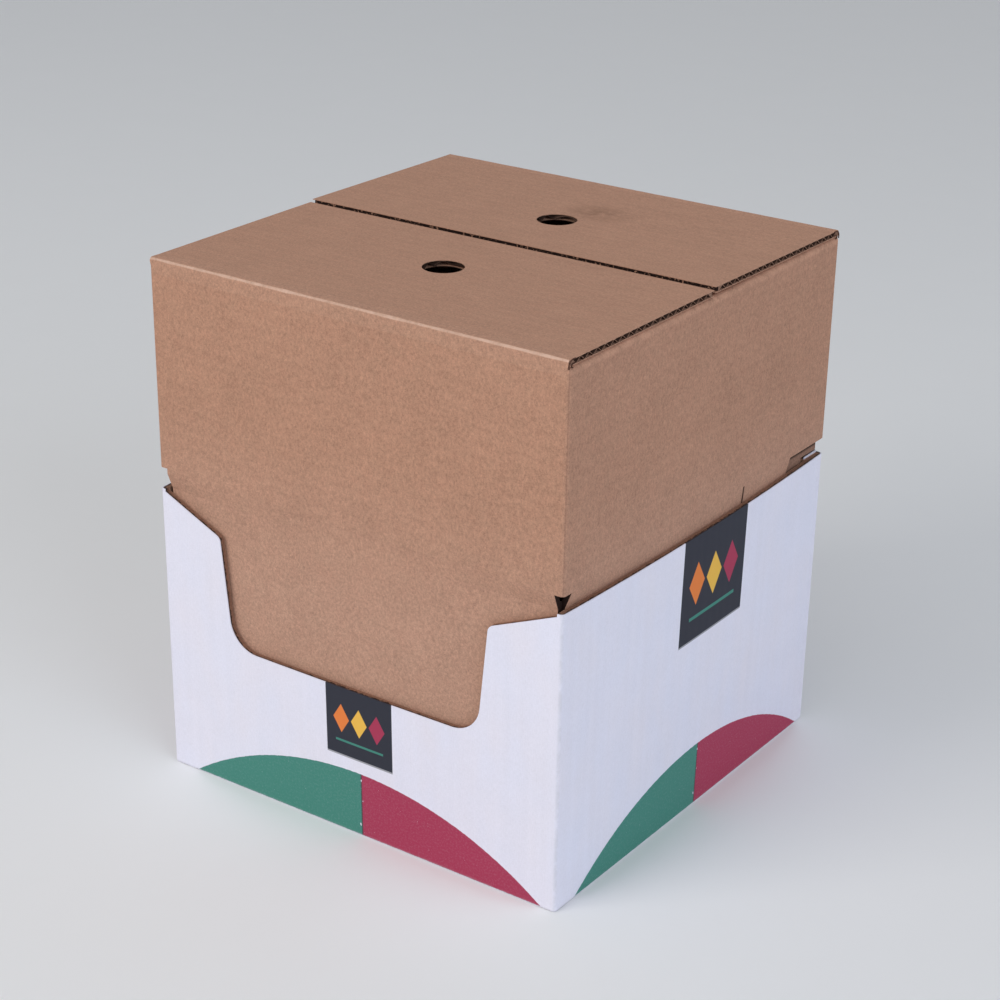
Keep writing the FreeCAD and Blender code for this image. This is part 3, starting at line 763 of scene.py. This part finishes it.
def fold_skin_material(colours):
    """The liner over a front or rear fold, with a slightly cracked crease, rubbed pale and
    given a painted highlight.
    """
    material, tree, shader, place = start_material("fold_skin", bends=True)
    x, y, z = split_axes(tree, place)
    kraft = use_group(
        tree,
        once("Kraft paper", kraft_paper_group),
        {"Place": place, "Paper": tuple(colours.kraft), "Strength": 1.0},
    )
    wander = (cloud(tree, join_axes(tree, x, 0.0, 0.0), 0.07, 3.0, 0.6) - 0.5) * 2.4
    diagonal = y.magnitude() * 0.7071 + z * 0.7071 + wander * 0.12
    crest = (HINGE_OUT + HINGE_HEIGHT) * 0.7071 + BOARD / 2
    close = diagonal.rise(crest - 0.06, crest + 0.12)
    rubbed = use_group(
        tree, once("Rubbed edge", rubbed_group), {"Closeness": close, "Place": place}
    )
    # The crest is partly rubbed pale and partly a painted highlight along its length
    pale = Signal(tree, rubbed["Mask"]) * 0.36 + close * 0.30
    colour = mix_colours(tree, pale, kraft["Colour"], (0.78, 0.54, 0.42))
    cracks = cloud(tree, stretched(tree, place, 0.25, 1.0, 1.0), 1.4, 3.0, 0.7).rise(0.62, 0.7)
    height = Signal(tree, kraft["Height"]) - cracks * close * 0.08
    finish_shader(tree, shader, colour, close * -0.05 + 0.86, height)
    return material


def torn_edge_material(colours):
    """Fibrous torn edge of a liner, darkened with painted shade from between the curled liners.
    """
    material, tree, shader, place = start_material("torn_edge", bends=True)
    fibres = cloud(tree, place, 1.1, 3.0, 0.7)
    colour = mix_colours(tree, fibres.rise(0.5, 0.8), tuple(colours.torn), tuple(colours.kraft))
    finish_shader(tree, shader, colour, 0.92, fibres * 0.05, 0.05)
    return material


def floor_material(colours):
    """Plain pale floor, faintly clouded."""
    material, tree, shader, place = start_material("studio_floor")
    grain = cloud(tree, place, 0.02, 2.0)
    tone = mix_colours(tree, grain * 0.06, tuple(colours.floor), (0.70, 0.70, 0.70))
    finish_shader(tree, shader, tone, 0.8, grain * 0.01)
    return material


# Modelling helpers
def select_none():
    """Deselects every object."""
    if bpy.context.object and bpy.context.object.mode != "OBJECT":
        bpy.ops.object.mode_set(mode="OBJECT")
    bpy.ops.object.select_all(action="DESELECT")


def pick(kind, wanted):
    """In edit mode, selects only the vertices, edges or faces that pass a test."""
    mesh = bpy.context.object.data
    edit = bmesh.from_edit_mesh(mesh)
    bpy.ops.mesh.select_all(action="DESELECT")
    bpy.context.tool_settings.mesh_select_mode = tuple(
        kind == name for name in ("verts", "edges", "faces")
    )
    for item in getattr(edit, kind):
        item.select_set(bool(wanted(item)))
    edit.select_flush_mode()
    bmesh.update_edit_mesh(mesh)


def edge_middle(edge):
    """The middle of an edge."""
    return (edge.verts[0].co + edge.verts[1].co) / 2


def settle(name, material, body):
    """Names the active object, puts its place in its mesh and hands it to the frame."""
    piece = bpy.context.object
    bpy.ops.object.transform_apply(location=True, rotation=True, scale=True)
    piece.name = name
    piece.data.name = name
    piece.data.materials.clear()
    piece.data.materials.append(material)
    if body:
        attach(piece, body)
    return piece


def remember_place(piece):
    """Keeps where each vertex lies at rest, for the patterns of the piece."""
    kept = piece.data.attributes.new(REST_PLACE, "FLOAT_VECTOR", "POINT")
    for vertex in piece.data.vertices:
        kept.data[vertex.index].vector = vertex.co


def named_material(name, build):
    """The material of that name, made the first time it is asked for."""
    return bpy.data.materials.get(name) or build(bpy.context.scene.pack_colours)


def dress(node, material):
    """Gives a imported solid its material."""
    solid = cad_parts[node]
    solid.data.materials.clear()
    solid.data.materials.append(material)


# Operators
class PACK_OT_tray(bpy.types.Operator):
    """Prints the tray and shows the board at its cut rim"""

    bl_idname = "pack.tray"
    bl_label = "Tray"

    def execute(self, context):
        dress("tray", named_material("tray_board", tray_board_material))
        return {"FINISHED"}


class PACK_OT_hood(bpy.types.Operator):
    """Gives the hood its brown board"""

    bl_idname = "pack.hood"
    bl_label = "Hood"

    def execute(self, context):
        dress("hood", named_material("hood_board", hood_board_material))
        return {"FINISHED"}


class PACK_OT_flaps(bpy.types.Operator):
    """Gives the two outer flaps their brown board"""

    bl_idname = "pack.flaps"
    bl_label = "Outer flaps"

    def execute(self, context):
        for node in ("front_flap", "rear_flap"):
            dress(node, named_material("flap_board", flap_board_material))
        return {"FINISHED"}


class PACK_OT_folds(bpy.types.Operator):
    """Lays the outer liner over the front and rear folds, from wall to flap"""

    bl_idname = "pack.folds"
    bl_label = "Front and rear folds"

    def execute(self, context):
        sizes = context.scene.pack_sizes
        for end, flap in ((-1, "front_flap"), (1, "rear_flap")):
            self.lay_skin(sizes, end, flap)
        return {"FINISHED"}

    def lay_skin(self, sizes, end, flap):
        """One skin: up the wall, round the fold and a little way over the flap."""
        span = (HALF_WIDTH - 0.9) * 2 * MM
        out = HINGE_OUT * MM
        level = HINGE_HEIGHT * MM
        radius = BOARD / 2 * MM + sizes.strip_lift
        apron = sizes.strip_apron
        select_none()
        bpy.ops.mesh.primitive_plane_add(
            size=1.0,
            location=(0, (out + radius) * end, level - apron * 0.55),
            rotation=(math.pi / 2, 0, 0),
        )
        skin = bpy.context.object
        skin.scale = (span, apron * 0.9, 1)
        bpy.ops.object.transform_apply(location=True, rotation=True, scale=True)
        bpy.ops.object.mode_set(mode="EDIT")
        pick("edges", lambda edge: edge_middle(edge).z > level - apron * 0.2)
        bpy.ops.mesh.extrude_region_move(TRANSFORM_OT_translate={"value": (0, 0, apron * 0.1)})
        bpy.ops.mesh.spin(
            steps=10,
            angle=-math.pi / 2 * end,
            center=(0, out * end, level),
            axis=(1, 0, 0),
        )
        for reach in (0.1, 0.9):
            bpy.ops.mesh.extrude_region_move(
                TRANSFORM_OT_translate={"value": (0, -apron * reach * end, 0)}
            )
        bpy.ops.mesh.select_all(action="SELECT")
        bpy.ops.mesh.remove_doubles(threshold=1e-6)
        pick("edges", lambda edge: abs(edge.verts[0].co.x - edge.verts[1].co.x) > span / 2)
        bpy.ops.mesh.subdivide(number_cuts=80)
        bpy.ops.mesh.select_all(action="SELECT")
        bpy.ops.mesh.normals_make_consistent(inside=False)
        bpy.ops.object.mode_set(mode="OBJECT")
        self.unsettle(skin, sizes, end)
        thicken = skin.modifiers.new("thicken", "SOLIDIFY")
        thicken.thickness = sizes.strip_lift * 1.6
        thicken.offset = -1 if self.faces_out(skin, end) else 1
        bpy.ops.object.modifier_apply(modifier="thicken")
        bpy.ops.object.shade_smooth_by_angle(angle=math.radians(40))
        name = f"{flap}_fold_skin"
        settle(name, named_material("fold_skin", fold_skin_material), None)
        remember_place(skin)
        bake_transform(skin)

    def faces_out(self, skin, end):
        """Whether the skin's faces look away from the pack."""
        return skin.data.polygons[0].normal.y * end > 0

    def unsettle(self, skin, sizes, end):
        """Lets the crease wander a little and tucks the skin's rims into the board."""
        hub = Vector((0, HINGE_OUT * MM * end, HINGE_HEIGHT * MM))
        apron = sizes.strip_apron
        wall_corner = (HALF_WIDTH - UPRIGHT_FOLD) * MM
        for vertex in skin.data.vertices:
            inward = (hub.y - vertex.co.y) * end
            below = hub.z - vertex.co.z
            if below > apron * 0.5:
                vertex.co.x = max(-wall_corner, min(wall_corner, vertex.co.x))
                vertex.co.y -= end * sizes.strip_lift * 0.9
            elif inward > apron * 0.5:
                vertex.co.z -= sizes.strip_lift * 0.9
            elif below < 1e-6 and inward < 1e-6:
                direction = (vertex.co - hub) * Vector((0, 1, 1))
                slope = noise.noise(Vector((vertex.co.x * 60, end * 7.0, 0.5)))
                ripple = noise.noise(Vector((vertex.co.x * 240, end * 3.0, 2.5)))
                amount = sizes.strip_wave * (0.35 * abs(slope) + 0.2 * abs(ripple))
                vertex.co += direction.normalized() * amount


class PACK_OT_fold_ends(bpy.types.Operator):
    """Curls the crushed board's liners at the four ends of the front and rear folds"""

    bl_idname = "pack.fold_ends"
    bl_label = "Fold ends"

    def execute(self, context):
        sizes = context.scene.pack_sizes
        for end, flap in ((-1, "front_flap"), (1, "rear_flap")):
            for side, hand in ((-1, "left"), (1, "right")):
                curls = [("inner", 0.9, 2.1)]
                if side > 0:
                    curls.append(("outer", 2.8, 1.1))
                for liner, radius, sweep in curls:
                    name = f"{flap}_{hand}_{liner}_curl"
                    self.curl(sizes, name, flap, end, side, radius * MM, sweep)
        return {"FINISHED"}

    def curl(self, sizes, name, flap, end, side, radius, sweep):
        """A strip of liner from the flap's end round the fold and down."""
        width = sizes.curl_width
        hub = Vector(
            (
                (HALF_WIDTH - CURL_FROM_SIDE) * MM * side,
                (HALF_WIDTH - CURL_FROM_FRONT) * MM * end,
                CURL_HEIGHT,
            )
        )
        select_none()
        bpy.ops.mesh.primitive_plane_add(
            size=1.0, location=(hub.x, hub.y - 0.001 * end, hub.z + radius)
        )
        strip = bpy.context.object
        strip.scale = (width, 0.002, 1)
        bpy.ops.object.transform_apply(location=True, rotation=True, scale=True)
        bpy.ops.object.mode_set(mode="EDIT")
        pick("edges", lambda edge: abs(edge_middle(edge).y - hub.y) < 1e-6)
        bpy.ops.mesh.spin(steps=10, angle=sweep * math.pi / 2 * end, center=hub, axis=(1, 0, 0))
        bpy.ops.mesh.extrude_region_move(
            TRANSFORM_OT_translate={"value": (0, 0, -0.0007 if radius > 0.002 else 0)}
        )
        bpy.ops.mesh.select_all(action="SELECT")
        bpy.ops.mesh.remove_doubles(threshold=1e-6)
        bpy.ops.mesh.normals_make_consistent(inside=False)
        bpy.ops.object.mode_set(mode="OBJECT")
        thicken = strip.modifiers.new("thicken", "SOLIDIFY")
        thicken.thickness = LINER * MM
        thicken.offset = 0
        bpy.ops.object.modifier_apply(modifier="thicken")
        bpy.ops.object.shade_smooth_by_angle(angle=math.radians(40))
        settle(name, named_material("torn_edge", torn_edge_material), None)
        remember_place(strip)
        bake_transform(strip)


class PACK_OT_studio(bpy.types.Operator):
    """Sets up the pale floor, the soft lights and the camera"""

    bl_idname = "pack.studio"
    bl_label = "Studio"

    def execute(self, context):
        self.lay_floor(context)
        self.hang_lights(context)
        self.place_camera(context)
        return {"FINISHED"}

    def lay_floor(self, context):
        sizes = context.scene.pack_sizes
        select_none()
        bpy.ops.mesh.primitive_plane_add(size=sizes.floor_size, location=(0, 0, 0))
        floor = context.object
        floor.name = "studio_floor"
        floor.data.materials.append(named_material("studio_floor", floor_material))

    def hang_lights(self, context):
        scene = context.scene
        scene.view_settings.view_transform = "Standard"
        world = bpy.data.worlds.new("studio_air")
        scene.world = world
        world.use_nodes = True
        tree = world.node_tree
        seen = tree.nodes["Background"]
        feed(tree, (1.0, 1.0, 1.0), seen.inputs["Color"])
        seen.inputs["Strength"].default_value = 1.0
        air = place_node(
            tree, "ShaderNodeBackground", {"Color": (0.90, 0.94, 1.0), "Strength": 0.42}
        )
        rays = tree.nodes.new("ShaderNodeLightPath")
        shown = Signal(tree, rays.outputs["Is Camera Ray"])
        for ray in ("Is Glossy Ray", "Is Transmission Ray"):
            shown = shown.highest(Signal(tree, rays.outputs[ray]))
        mixer = place_node(
            tree, "ShaderNodeMixShader", {0: shown, 1: air.outputs[0], 2: seen.outputs[0]}
        )
        feed(tree, mixer.outputs[0], tree.nodes["World Output"].inputs["Surface"])
        for name, spot, size, watts, colour in (
            ("key", (-1.1, -2.4, 1.3), 1.6, 29.2, (1.0, 0.97, 0.92)),
            ("fill", (2.4, -0.8, 1.2), 1.8, 23.0, (0.78, 0.87, 1.0)),
            ("top", (0.0, -0.9, 2.6), 1.8, 9.5, (1.0, 0.98, 0.96)),
        ):
            lamp = bpy.data.lights.new(name, "AREA")
            lamp.energy = watts
            lamp.size = size
            lamp.color = colour
            holder = bpy.data.objects.new(name, lamp)
            holder.location = spot
            aim = Vector((0, 0, 0.12)) - holder.location
            holder.rotation_euler = aim.to_track_quat("-Z", "Y").to_euler()
            scene.collection.objects.link(holder)

    def place_camera(self, context):
        lens = bpy.data.cameras.new("camera")
        lens.sensor_width = 36.0
        lens.lens = 82.4
        lens.shift_x = 0.039
        lens.shift_y = 0.0775
        camera = bpy.data.objects.new("camera", lens)
        turn, climb, roll = math.radians(36.05), math.radians(25.15), math.radians(0.43)
        back = Vector(
            (
                math.sin(turn) * math.cos(climb),
                -math.cos(turn) * math.cos(climb),
                math.sin(climb),
            )
        )
        facing = (-back).to_track_quat("-Z", "Y") @ Quaternion((0, 0, 1), roll)
        camera.rotation_euler = facing.to_euler()
        camera.location = (0.60248, -0.85863, 0.58526)
        context.scene.collection.objects.link(camera)
        context.scene.camera = camera


class PACK_PT_panel(bpy.types.Panel):
    """Lists the pieces of the pack in the sidebar"""

    bl_idname = "PACK_PT_panel"
    bl_label = "Display pack"
    bl_space_type = "VIEW_3D"
    bl_region_type = "UI"
    bl_category = "Pack"

    def draw(self, context):
        layout = self.layout
        for group in (context.scene.pack_sizes, context.scene.pack_colours):
            for name in group.__annotations__:
                layout.prop(group, name)
        for operator in OPERATORS:
            layout.operator(operator.bl_idname)


OPERATORS = (
    PACK_OT_tray,
    PACK_OT_hood,
    PACK_OT_flaps,
    PACK_OT_folds,
    PACK_OT_fold_ends,
    PACK_OT_studio,
)
CLASSES = (PackSizes, PackColours, *OPERATORS, PACK_PT_panel)


def register():
    for item in CLASSES:
        bpy.utils.register_class(item)
    bpy.types.Scene.pack_sizes = PointerProperty(type=PackSizes)
    bpy.types.Scene.pack_colours = PointerProperty(type=PackColours)


def unregister():
    del bpy.types.Scene.pack_colours
    del bpy.types.Scene.pack_sizes
    for item in reversed(CLASSES):
        bpy.utils.unregister_class(item)


def main():
    """Makes the pack."""
    register()
    bpy.ops.pack.tray()
    bpy.ops.pack.hood()
    bpy.ops.pack.flaps()
    bpy.ops.pack.folds()
    bpy.ops.pack.fold_ends()
    bpy.ops.pack.studio()


if __name__ == "__main__":
    main()
